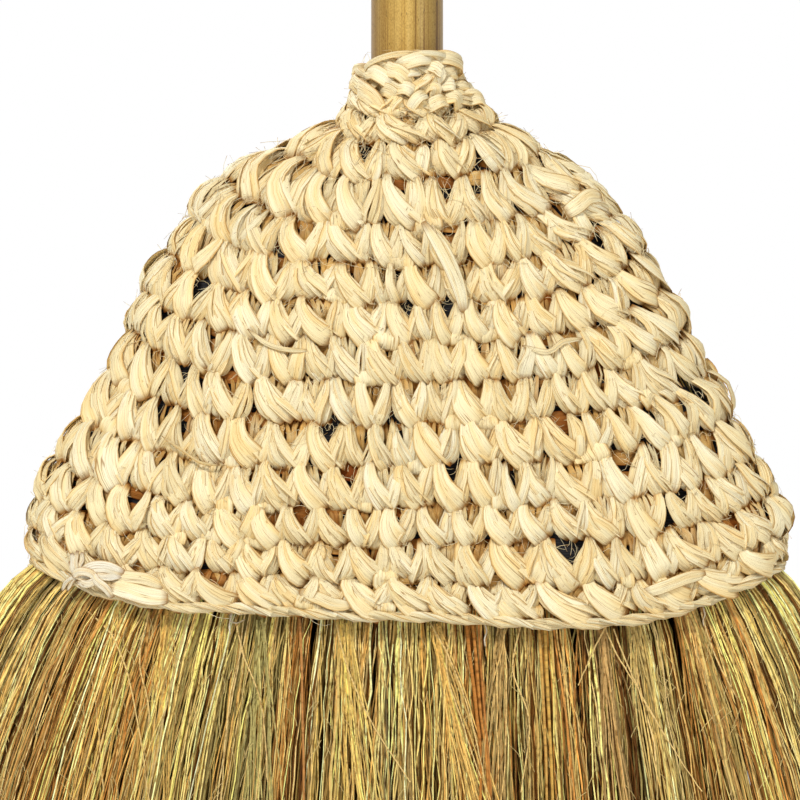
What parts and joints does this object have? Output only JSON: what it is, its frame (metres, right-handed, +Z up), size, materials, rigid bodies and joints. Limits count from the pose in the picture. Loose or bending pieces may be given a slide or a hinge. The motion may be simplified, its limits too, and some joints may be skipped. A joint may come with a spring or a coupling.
{
  "type": "raffia broom",
  "caption": "Soft fan broom with a round bamboo handle, grass bristles and a crocheted raffia cover over the shoulders of the fan.",
  "frame": {"origin": "on the floor, at the middle of the cut bristle tips", "axes": "+Z up along the handle, X across the fan, front of the broom towards -Y"},
  "size_m": [0.3876, 0.0638, 1],
  "materials": {
    "bamboo": "glossy skin with brown streaks",
    "peg_bamboo": "raw split bamboo",
    "grass_golden": "dry golden grass",
    "grass_olive": "dry olive grass",
    "grass_brown": "dry brown grass",
    "stitching_cord": "twisted natural cord",
    "black_lining": "matte black",
    "raffia": "folded raffia ribbon, satin",
    "pale_raffia": "pale raffia ends"
  },
  "bodies": {
    "root": {"handle": "bamboo", "handle_peg": "peg_bamboo", "grass_left_1": "grass_brown", "grass_left_2": "grass_olive", "grass_left_3": "grass_golden", "grass_left_4": "grass_brown", "grass_left_5": "grass_olive", "grass_right_1": "grass_brown", "grass_right_2": "grass_golden", "grass_right_3": "grass_olive", "grass_right_4": "grass_brown", "grass_right_5": "grass_olive", "grass_centre_front": "grass_golden", "grass_centre_back": "grass_golden", "fan_cord_upper": "stitching_cord", "fan_cord_lower": "stitching_cord", "inner_lining": "black_lining", "raffia_cover": "raffia", "neck_edging": "raffia", "hem_edging": "raffia", "fasten_off_knot": "pale_raffia"}
  },
  "joints": []
}
